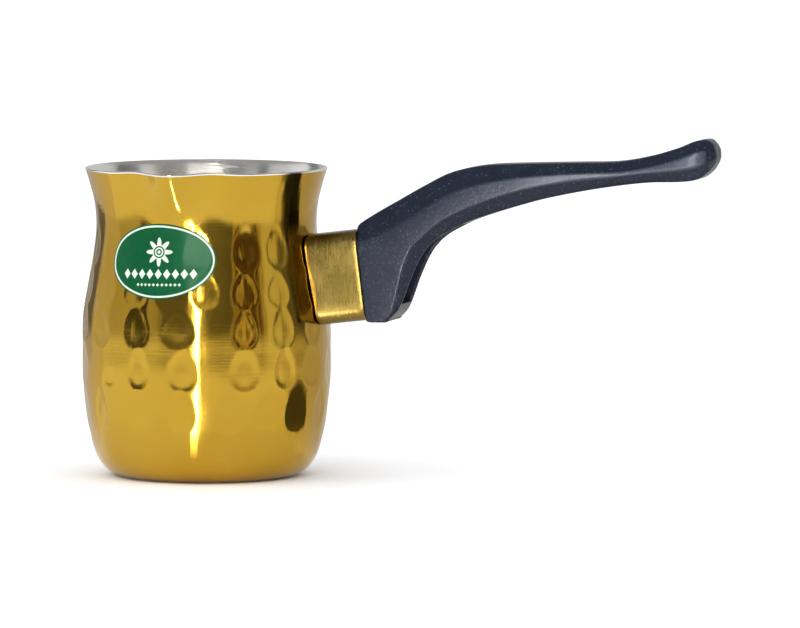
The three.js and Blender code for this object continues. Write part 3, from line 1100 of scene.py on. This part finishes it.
class POT_OT_guard(bpy.types.Operator):
    """Draw the flame guard from the wall to the handle"""

    bl_idname = "coffee_pot.guard"
    bl_label = "Flame Guard"

    def execute(self, context):
        guard = settings("guard")
        half_width = GUARD_WIDTH / 2
        half_height = GUARD_HEIGHT / 2
        crown = guard.crown / MM
        outline = rounded_rectangle(
            2 * (half_width - crown), 2 * (half_height - crown), guard.corner / MM, 10, 8
        )
        crowned = []
        for across, up in outline:
            out = 1.0 - min(1.0, (up / half_height) ** 2), 1.0 - (across / half_width) ** 2
            if abs(across) > half_width - crown - 0.01:
                across += math.copysign(crown * out[0], across)
            elif abs(up) > half_height - crown - 0.01:
                up += math.copysign(crown * out[1], up)
            crowned.append((across, up))
        # The near end follows the round wall, whose radius changes with the height.
        starts = []
        for across, up in crowned:
            along = 0.0
            for _ in range(8):
                z = on_stub(along, across, up).z
                reach = math.sqrt((wall_radius(z) + WELD_GAP) ** 2 - across**2)
                x = reach - STUB_START.x + up * math.sin(STUB_TILT)
                along = x / math.cos(STUB_TILT)
            starts.append(along)
        rings = []
        for k in range(GUARD_RINGS + 1):
            ring = []
            for (across, up), start in zip(crowned, starts):
                along = start + (GUARD_END - start) * k / GUARD_RINGS
                ring.append(on_stub(along, across, up) * MM)
            rings.append(ring)
        bm = bmesh.new()
        loft(bm, rings, cap_start=False, cap_end=False)
        middle = on_stub(GUARD_END / 2, 0, 0) * MM
        if sum((f.calc_center_median() - middle).dot(f.normal) for f in bm.faces) < 0:
            bmesh.ops.reverse_faces(bm, faces=bm.faces)
        bmesh.ops.solidify(bm, geom=bm.faces[:], thickness=guard.sheet)
        bmesh.ops.recalc_face_normals(bm, faces=bm.faces)
        sharp = [e for e in bm.edges if e.is_manifold and e.calc_face_angle(0) > 1.0]
        bmesh.ops.bevel(
            bm,
            geom=sharp,
            offset=EDGE_ROUND * MM,
            offset_type="OFFSET",
            segments=3,
            profile=0.5,
            affect="EDGES",
            material=-1,
            clamp_overlap=True,
        )
        finish_piece(
            "flame_guard_brushed",
            bm,
            [material_of(brushed_gold)],
            "flame_guard",
            sharp=50,
        )
        return {"FINISHED"}


def handle_ring(position):
    """The points of the handle's cross section at a position along its sections."""
    handle = settings("handle")
    flat = [tuple(v for part in section for v in part) for section in SECTIONS]
    fx, fz, ux, uz, lx, lz, rx, rz, wf, ws, wr = smooth_point(flat, position)
    front, upper, lower, rear = (
        Vector((x, 0.0, z)) for x, z in ((fx, fz), (ux, uz), (lx, lz), (rx, rz))
    )
    # The pocket goes in towards the front, down to the screw's seat.
    inwards = front - rear
    to_seat = (SEAT - (rear - STUB_START).dot(STUB_AXIS)) / inwards.dot(STUB_AXIS)
    drop, full, fade, end = POCKET_STATIONS
    share = smooth_step(position, drop, full) * (1 - smooth_step(position, fade, end))
    floor = rear + inwards * min(max(to_seat, 0.0), POCKET_DEEPEST) * share
    lip = wr - POCKET_SIDE
    floor_half = lip - POCKET_DRAFT

    def at(point, across):
        return Vector((point.x, across, point.z))

    right = [
        (at(front, wf), handle.facet_round),
        (at(upper, ws), handle.facet_round),
        (at(lower, ws), handle.facet_round),
        (at(rear, wr), handle.lip_round),
        (at(rear, lip), handle.lip_round),
        (at(floor, floor_half), POCKET_ROUND * MM),
    ]
    left = [(Vector((p.x, -p.y, p.z)), r) for p, r in reversed(right)]
    corners = [point * MM for point, _ in right + left]
    rounds = [r for _, r in right + left]
    return rounded_corners(corners, rounds)


class POT_OT_handle(bpy.types.Operator):
    """Loft the moulded handle and cut its tenon and screw hole"""

    bl_idname = "coffee_pot.handle"
    bl_label = "Handle"

    def execute(self, context):
        last = len(SECTIONS) - 1
        positions = [i / SLICES for i in range(last * SLICES + 1)]
        rings = [handle_ring(position) for position in positions]

        def shrunk(ring, share, shift):
            centre = sum(ring, Vector()) / len(ring)
            return [centre + (p - centre) * share + shift * MM for p in ring]

        # Both ends are rounded off by rings that shrink as they move out.
        heel = -STUB_UP
        rings = [shrunk(rings[0], 0.86, heel * 0.62), shrunk(rings[0], 0.95, heel * 0.42)] + rings
        tip = Vector((0.93, 0.0, 0.36))
        rings += [shrunk(rings[-1], 0.6, tip * 0.42), shrunk(rings[-1], 0.15, tip * 0.6)]
        bm = bmesh.new()
        loft(bm, rings)
        piece = finish_piece(
            "handle_moulded", bm, [material_of(moulded_phenolic)], "handle"
        )
        cut(piece, self.tenon(), "UNION")
        hole = bmesh.new()
        edge, end = SCREW_HOLE * MM, HOLE_LENGTH * MM
        turned(hole, [(0, 0), (edge, 0), (edge, end), (0, end)], 40)
        bmesh.ops.transform(hole, matrix=stub_matrix(), verts=hole.verts)
        cut(piece, hole, "DIFFERENCE")
        smooth_but(piece.data, 50)
        return {"FINISHED"}

    def tenon(self):
        """The block inside the flame guard, from behind the bracket to the handle.

        Its first half millimetre tapers, and its last one is inside the handle.
        """
        room = settings("guard").sheet / MM + CLEARANCE
        corner = settings("guard").corner / MM - room
        size = (GUARD_WIDTH - 2 * room, GUARD_HEIGHT - 2 * room)
        outline = rounded_rectangle(*size, corner, 2, 5)
        bm = bmesh.new()
        rings = []
        for along, share in ((0.0, 0.97), (0.5, 1.0), (ROOT + 1.0 - TENON_START, 1.0)):
            start = TENON_START + along
            rings.append([on_stub(start, a * share, u * share) * MM for a, u in outline])
        loft(bm, rings)
        return bm


class POT_OT_label(bpy.types.Operator):
    """Lay the printed label on the hammered wall"""

    bl_idname = "coffee_pot.label"
    bl_label = "Label"

    def execute(self, context):
        made = settings("label")
        bm = bmesh.new()
        turned(bm, [(i / LABEL_RINGS, 0.0) for i in range(LABEL_RINGS + 1)], LABEL_TURNS)
        bmesh.ops.solidify(bm, geom=bm.faces[:], thickness=0.01)
        bmesh.ops.recalc_face_normals(bm, faces=bm.faces)
        plane = bm.loops.layers.uv.new("print")
        for face in bm.faces:
            for corner in face.loops:
                x, y = corner.vert.co.x, corner.vert.co.y
                corner[plane].uv = (0.5 + x / 2, 0.5 + y / 2)
        marks = hammer_marks()
        low, high = (f(v.co.z for v in bm.verts) for f in (min, max))
        for vert in bm.verts:
            across = vert.co.x * made.width / 2
            up = vert.co.y * made.height / 2
            lifted = (vert.co.z - low) / (high - low)
            side = across * math.cos(made.tilt) + up * math.sin(made.tilt)
            rise = up * math.cos(made.tilt) - across * math.sin(made.tilt)
            height = made.middle + rise
            turn = made.turn + side / (wall_radius(height / MM) * MM)
            stand_off = GLUE * MM + lifted * made.thickness
            vert.co = wall_place(marks, turn, height, LABEL_FOLLOWS, stand_off)
        bmesh.ops.recalc_face_normals(bm, faces=bm.faces)
        finish_piece(
            "label_printed",
            bm,
            [material_of(label_print)],
            "label",
            sharp=60,
        )
        return {"FINISHED"}


class POT_OT_fastening(bpy.types.Operator):
    """Make the screw and its washers, and finish the bracket and the nut"""

    bl_idname = "coffee_pot.fastening"
    bl_label = "Fastening"

    def execute(self, context):
        steel = material_of(bare_steel, name="plated_steel")
        for node in ("handle_bracket", "weld_nut"):
            mesh = frame["nodes"][node].data
            mesh.materials.clear()
            mesh.materials.append(steel)
        washer_start = SEAT + CLEARANCE
        spring_start = washer_start + WASHER[1] + CLEARANCE
        head_start = spring_start + SPRING[1] + CLEARANCE
        self.make("flat_washer", self.flat_washer(), washer_start, steel)
        self.make("spring_washer", self.spring_washer(), spring_start, steel)
        screw = self.make("handle_screw", self.screw(head_start), 0.0, steel)
        for turn in (0.0, math.pi / 2):
            slot = bmesh.new()
            bmesh.ops.create_cube(slot, size=1.0)
            for vert in slot.verts:
                deep = vert.co.z < 0
                long, wide = RECESS_LOW if deep else RECESS_HIGH
                vert.co.x *= long * MM
                vert.co.y *= wide * MM
                vert.co.z *= RECESS_HEIGHT * MM
            end = stub_matrix(head_start + HEAD[1])
            turned_slot = end @ Matrix.Rotation(turn + RECESS_TURN, 4, "Z")
            bmesh.ops.transform(slot, matrix=turned_slot, verts=slot.verts)
            cut(screw, slot, "DIFFERENCE")
        smooth_but(screw.data, 35)
        return {"FINISHED"}

    def make(self, node, bm, along, steel):
        bmesh.ops.transform(bm, matrix=stub_matrix(along), verts=bm.verts)
        return finish_piece(node + "_made", bm, [steel], node, sharp=35)

    def flat_washer(self):
        """A square section with its four corners cut off."""
        radius, thick = WASHER
        cut_by = 0.15
        outline = [
            (SCREW_HOLE, cut_by),
            (SCREW_HOLE + cut_by, 0.0),
            (radius - cut_by, 0.0),
            (radius, cut_by),
            (radius, thick - cut_by),
            (radius - cut_by, thick),
            (SCREW_HOLE + cut_by, thick),
            (SCREW_HOLE, thick - cut_by),
            (SCREW_HOLE, cut_by),
        ]
        bm = bmesh.new()
        turned(bm, [(r * MM, z * MM) for r, z in outline], 72)
        return bm

    def spring_washer(self):
        """A split ring of square wire, wound like one turn of a spring."""
        radius, thick = SPRING
        rise, corner_round = 0.3, 0.12
        hole, wire = SCREW_HOLE + 0.05, thick - rise
        square = ((hole, 0.0), (radius, 0.0), (radius, wire), (hole, wire))
        corners = [Vector((r, 0.0, z)) for r, z in square]
        section = rounded_corners(corners, [corner_round] * 4, steps=3)
        steps = 70
        rings = []
        for i in range(steps + 1):
            turn = math.radians(SPLIT_ANGLE + (360 - 2 * SPLIT_ANGLE) * i / steps)
            spun = Matrix.Rotation(turn, 3, "Z")
            lift = Vector((0.0, 0.0, rise * i / steps))
            rings.append([(spun @ point + lift) * MM for point in section])
        bm = bmesh.new()
        loft(bm, rings)
        return bm

    def screw(self, head_start):
        """A pan head screw. Its thread is pressed into the straight part of the outline."""
        radius, high = HEAD
        outline = [(0.0, SCREW_TIP), (SCREW_RADIUS - 0.7, SCREW_TIP)]
        steps = 240
        shank = head_start - 1.0 - SCREW_TIP
        for i in range(steps + 1):
            outline.append((SCREW_RADIUS, SCREW_TIP + 0.5 + shank * i / steps))
        outline += [(SCREW_RADIUS, head_start), (radius - 0.2, head_start)]
        outline += [(radius, head_start + 0.2), (radius, head_start + 0.35 * high)]
        for i in range(1, 12):
            turn = math.pi / 2 * i / 12
            z = head_start + high * (0.35 + 0.65 * math.sin(turn))
            outline.append((radius * math.cos(turn) ** 0.8, z))
        outline.append((0.0, head_start + high))
        bm = bmesh.new()
        turned(bm, [(r * MM, z * MM) for r, z in outline], 48)
        for vert in bm.verts:
            r, z = math.hypot(vert.co.x, vert.co.y) / MM, vert.co.z / MM
            if SCREW_TIP + 0.4 < z < head_start - 0.45 and r > SCREW_RADIUS - 0.1:
                turn = math.atan2(vert.co.y, vert.co.x) / (2 * math.pi)
                wave = abs(((z / THREAD_PITCH - turn) % 1.0) - 0.5) * 2
                narrow(vert, 1 - THREAD_DEPTH * wave / r)
        return bm


# ---- stage ----------------------------------------------------------------------------------

# What the polished metal mirrors all round the room, as (angle from -Y towards +X, brightness).
ROOM = [
    (-180, 0.6),
    (-150, 0.55),
    (-134, 0.42),
    (-130, 0.2),
    (-114, 0.2),
    (-110, 0.82),
    (-84, 0.8),
    (-82, 0.66),
    (-54, 0.72),
    (-52, 0.09),
    (-41, 0.09),
    (-39, 0.62),
    (-27, 0.5),
    (-24, 0.2),
    (-2, 0.17),
    (1, 0.4),
    (16, 0.4),
    (19, 0.2),
    (44, 0.15),
    (72, 0.13),
    (75, 0.9),
    (92, 0.85),
    (94, 0.2),
    (124, 0.1),
    (128, 0.62),
    (160, 0.6),
    (180, 0.6),
]
ROOM_RADIUS = 0.6
FAR_TABLE = 0.68  # how bright the table top is behind the pot
STRIP = (8.5, 2.4, 50.0)  # angle, half width in degrees, brightness
WINDOW = (28.0, 10.0, 1.6)
# How bright the strip is in the table top, as (distance from the pot's axis, brightness).
STRIP_ON_TABLE = [
    (0.05, 1.5),
    (0.064, 5.0),
    (0.078, 30.0),
    (0.095, 40.0),
    (0.104, 1.0),
    (0.24, 1.0),
    (0.3, 20.0),
    (0.36, 45.0),
]
STRIP_CARD = (0.1, 0.024, 0.9, 42.0)  # distance, height, turn past the strip, brightness
ROOM_WALL = 0.75  # height of its wall
NEAR_EDGE = 0.05  # the dull part of the table begins this far from the pot's axis
STRIP_NEAR = 0.048
SHEET_GAP = 0.01  # the sheets on the table end this far inside the wall
WARM = (1.0, 0.97, 0.9)
WINDOW_HEIGHTS = (0.3, 0.33, 0.46, 0.49)  # it fades in over the first two and out over the last
STRIP_TOP = (0.3, 0.34)
OVERHEAD = (0.35, 0.46)  # the room fades into its dull ceiling here
CEILING_TONE = 0.3
SLATS = (59.0, 14.5)  # middle and half width of the brown slats, in degrees
SLAT_DARK = (0.05, 0.023, 0.014, 1.0)
SLAT_LIGHT = (1.0, 0.86, 0.68, 1.0)
# The shade under the handle: middle, half axes, turn in degrees and brightness.
SHADE = ((0.168, 0.042), (0.1, 0.031), 24.0, 0.1)
# Lamps, as (name, place, side, power).
LAMPS = [
    ("key", (-1.1, -0.9, 1.5), 1.0, 4.5),
    ("fill", (0.0, -2.2, 0.65), 0.9, 9.0),
]
LAMPS_AIM = Vector((0.03, 0.0, 0.05))


def paint_floor():
    material, nodes, shader, place = new_material(
        "studio_floor", Roughness=0.8, Specular_IOR_Level=0.0
    )
    cloud = nodes.noise(place, 3.0, 3.0)
    shade = nodes.mix(cloud, (0.89, 0.89, 0.89, 1.0), (0.91, 0.91, 0.91, 1.0))
    nodes.feed(shader["Base Color"], shade)
    return material


def glow(name, tint, strength):
    """A material that only shines, as (material, nodes, its Emission node)."""
    material = bpy.data.materials.new(name)
    material.use_nodes = True
    nodes = Nodes(material.node_tree)
    nodes.tree.nodes.remove(nodes.tree.nodes["Principled BSDF"])
    light = nodes.add("Emission", {"Color": rgba(tint), "Strength": strength})
    nodes.feed(nodes.tree.nodes["Material Output"].inputs["Surface"], light.outputs[0])
    return material, nodes, light


def add_card(name, bm, material):
    """Adds something that only the polished metal shows."""
    made = new_object(name, bm, [material])
    made.visible_camera = False
    made.visible_diffuse = False
    made.visible_shadow = False
    made.visible_transmission = False
    made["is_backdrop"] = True


def add_sheet(name, corners, material):
    bm = bmesh.new()
    bm.faces.new([bm.verts.new(corner) for corner in corners])
    add_card(name, bm, material)


def add_swept(name, start, end, angle, steps, material):
    """A card that a straight line draws as it turns about Z."""
    bm = bmesh.new()
    first, last = bm.verts.new(start), bm.verts.new(end)
    spin(bm, [first, last, bm.edges.new((first, last))], angle, steps)
    add_card(name, bm, material)


def around(away, turn, up):
    """A point at a distance from the pot's axis, an angle from -Y towards +X and a height."""
    return (away * math.sin(turn), -away * math.cos(turn), up)


def paint_room():
    """The room as the metal mirrors it: furniture, slats, a strip light and a window."""
    material, nodes, light = glow("room", (1.0, 1.0, 1.0), 1.0)
    place = nodes.parts(nodes.place())
    facing = nodes.math("ARCTAN2", place["X"], nodes.times(place["Y"], -1.0))
    turn = nodes.times(facing, 180 / math.pi)
    high = place["Z"]

    def band(middle, half, soft):
        return nodes.ramp(nodes.away(turn, middle), half + soft, half - soft)

    ripple = nodes.add("TexNoise", {"W": turn, "Scale": 0.3, "Detail": 0.6}, noise_dimensions="1D")
    slats = nodes.ramp(ripple.outputs["Fac"], 0.56, 0.6)
    timber = nodes.mix(slats, SLAT_DARK, SLAT_LIGHT)
    walls = nodes.mix(band(*SLATS, 1.0), nodes.tones(turn, -180.0, 180.0, ROOM), timber)
    dull = (CEILING_TONE, CEILING_TONE, CEILING_TONE, 1.0)
    walls = nodes.mix(nodes.ramp(high, *OVERHEAD), walls, dull)
    nodes.feed(light.inputs["Color"], walls)

    middle, half, bright = STRIP
    low, top = STRIP_TOP
    strip = nodes.times(band(middle, half, 0.5), nodes.ramp(high, top, low))
    shine = nodes.times(strip, bright - 1)
    middle, half, bright = WINDOW
    bottom, full, fading, top = WINDOW_HEIGHTS
    within = nodes.times(nodes.ramp(high, bottom, full), nodes.ramp(high, top, fading))
    window = nodes.times(band(middle, half, 2.0), within)
    shine = nodes.plus(shine, nodes.times(window, bright - CEILING_TONE))
    extra = nodes.add("Emission", {"Color": rgba(WARM), "Strength": shine})
    both = nodes.add("AddShader", {0: light.outputs[0], 1: extra.outputs[0]})
    nodes.feed(nodes.tree.nodes["Material Output"].inputs["Surface"], both.outputs[0])
    return material


def paint_far_table():
    """The table top fades to a duller tone behind the pot."""
    material, nodes, light = glow("far_table", (1.0, 0.97, 0.93), 1.0)
    place = nodes.parts(nodes.place())
    turn = nodes.math("ARCTAN2", nodes.away(place["X"], 0.0), place["Y"])
    strength = nodes.ramp(turn, math.radians(84), math.radians(48), 1.0, FAR_TABLE)
    nodes.feed(light.inputs["Strength"], strength)
    return material


def paint_strip_on_table():
    """The strip light mirrored in the table top, brighter and dimmer with the distance."""
    material, nodes, light = glow("strip", WARM, 1.0)
    bright = STRIP[2]
    away = nodes.add("VectorMath", {0: nodes.place()}, operation="LENGTH").outputs["Value"]
    stops = [(at, tone / bright) for at, tone in STRIP_ON_TABLE]
    tones = nodes.tones(away, 0.0, STRIP_ON_TABLE[-1][0], stops)
    nodes.feed(light.inputs["Strength"], nodes.times(tones, bright))
    return material


class POT_OT_stage(bpy.types.Operator):
    """Set up the floor, the lights, the reflecting cards and the camera"""

    bl_idname = "coffee_pot.stage"
    bl_label = "Stage"

    def execute(self, context):
        stage = settings("stage")
        scene = context.scene
        self.add_floor(stage)
        self.add_sky(scene, stage)
        for lamp in LAMPS:
            self.add_lamp(scene, *lamp)
        self.add_room()
        self.add_camera(scene, stage)
        scene.view_settings.view_transform = "Standard"
        return {"FINISHED"}

    def add_floor(self, stage):
        bm = bmesh.new()
        bmesh.ops.create_grid(bm, x_segments=1, y_segments=1, size=stage.floor / 2)
        bmesh.ops.translate(bm, verts=bm.verts, vec=(0, 0, -0.05 * MM))
        new_object("floor", bm, [paint_floor()])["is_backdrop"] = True

    def add_room(self):
        wall = ((ROOM_RADIUS, 0, 0), (ROOM_RADIUS, 0, ROOM_WALL))
        add_swept("room", *wall, FULL_TURN, 120, paint_room())
        middle, half = math.radians(STRIP[0]), math.radians(STRIP[1])
        far = ROOM_RADIUS - SHEET_GAP
        wedge = ((STRIP_NEAR, -half), (STRIP_NEAR, half), (far, half), (far, -half))
        corners = [around(away, middle + turn, 0.3 * MM) for away, turn in wedge]
        add_sheet("strip_on_table", corners, paint_strip_on_table())
        away, high, past, bright = STRIP_CARD
        middle += math.radians(past)
        upright = ((-half, 0.0), (half, 0.0), (half, high), (-half, high))
        corners = [around(away, middle + turn, up) for turn, up in upright]
        add_sheet("strip_card", corners, glow("strip_card", WARM, bright)[0])
        self.add_shade()
        line = ((NEAR_EDGE, 0, 0.1 * MM), (far, 0, 0.1 * MM))
        add_swept("far_table", *line, math.pi, 36, paint_far_table())

    def add_shade(self):
        middle, axes, turn, bright = SHADE
        bm = bmesh.new()
        bmesh.ops.create_circle(bm, cap_ends=True, segments=48, radius=1.0)
        move = Matrix.Translation((*middle, 0.2 * MM))
        move = move @ Matrix.Rotation(math.radians(turn), 4, "Z")
        move = move @ Matrix.Diagonal((*axes, 1, 1))
        bmesh.ops.transform(bm, matrix=move, verts=bm.verts)
        add_card("shade", bm, glow("shade", (1.0, 0.9, 0.8), bright)[0])

    def add_sky(self, scene, stage):
        world = bpy.data.worlds.new("studio")
        scene.world = world
        world.use_nodes = True
        nodes = Nodes(world.node_tree)
        rays = nodes.add("LightPath").outputs
        tint = nodes.mix(rays["Is Camera Ray"], (0.97, 0.98, 1.0, 1.0), (1.0, 1.0, 1.0, 1.0))
        back = world.node_tree.nodes["Background"].inputs
        nodes.feed(back["Color"], tint)
        strength = nodes.ramp(rays["Is Glossy Ray"], 0.0, 1.0, stage.sky, stage.ceiling)
        nodes.feed(back["Strength"], strength)

    def add_lamp(self, scene, name, place, side, power):
        lamp = bpy.data.lights.new(name, "AREA")
        lamp.shape = "SQUARE"
        lamp.size = side
        lamp.energy = power
        made = bpy.data.objects.new(name, lamp)
        made.location = place
        aim = LAMPS_AIM - made.location
        made.rotation_euler = aim.to_track_quat("-Z", "Y").to_euler()
        made.visible_glossy = False
        scene.collection.objects.link(made)

    def add_camera(self, scene, stage):
        low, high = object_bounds()
        right = Vector((math.cos(stage.azimuth), math.sin(stage.azimuth), 0.0))
        level = Vector((math.sin(stage.azimuth), -math.cos(stage.azimuth), 0.0))
        back = level * math.cos(stage.elevation) + Vector((0, 0, math.sin(stage.elevation)))
        up = back.cross(right)
        aim = (Vector(low) + Vector(high)) / 2 + right * stage.aim_right + up * stage.aim_up
        lens = bpy.data.cameras.new("camera")
        lens.lens = stage.lens
        lens.sensor_width = 36.0
        lens.clip_end = 50.0
        camera = bpy.data.objects.new("camera", lens)
        turned_to = Matrix((right, up, back)).transposed().to_4x4()
        camera.matrix_world = Matrix.Translation(aim + back * stage.distance) @ turned_to
        scene.collection.objects.link(camera)
        scene.camera = camera


# ---- panel and registration -----------------------------------------------------------------

PIECES = (
    POT_OT_shell,
    POT_OT_guard,
    POT_OT_handle,
    POT_OT_label,
    POT_OT_fastening,
    POT_OT_stage,
)


class POT_PT_panel(bpy.types.Panel):
    """Lists the pieces and their settings"""

    bl_idname = "POT_PT_panel"
    bl_label = "Coffee Pot"
    bl_space_type = "VIEW_3D"
    bl_region_type = "UI"
    bl_category = "Coffee Pot"

    def draw(self, context):
        for piece in PIECES:
            self.layout.operator(piece.bl_idname)
        for part, group in SETTINGS.items():
            box = self.layout.box()
            box.label(text=part.title())
            for name in group.__annotations__:
                box.prop(settings(part), name)


def register():
    for group in SETTINGS.values():
        bpy.utils.register_class(group)
    for part, group in SETTINGS.items():
        setattr(bpy.types.Scene, "coffee_pot_" + part, PointerProperty(type=group))
    for made in (*PIECES, POT_PT_panel):
        bpy.utils.register_class(made)


def unregister():
    for made in reversed((*PIECES, POT_PT_panel)):
        bpy.utils.unregister_class(made)
    for part, group in SETTINGS.items():
        delattr(bpy.types.Scene, "coffee_pot_" + part)
        bpy.utils.unregister_class(group)


def main():
    register()
    for name in ("shell", "guard", "handle", "label", "fastening", "stage"):
        getattr(bpy.ops.coffee_pot, name)()


if __name__ == "__main__":
    main()
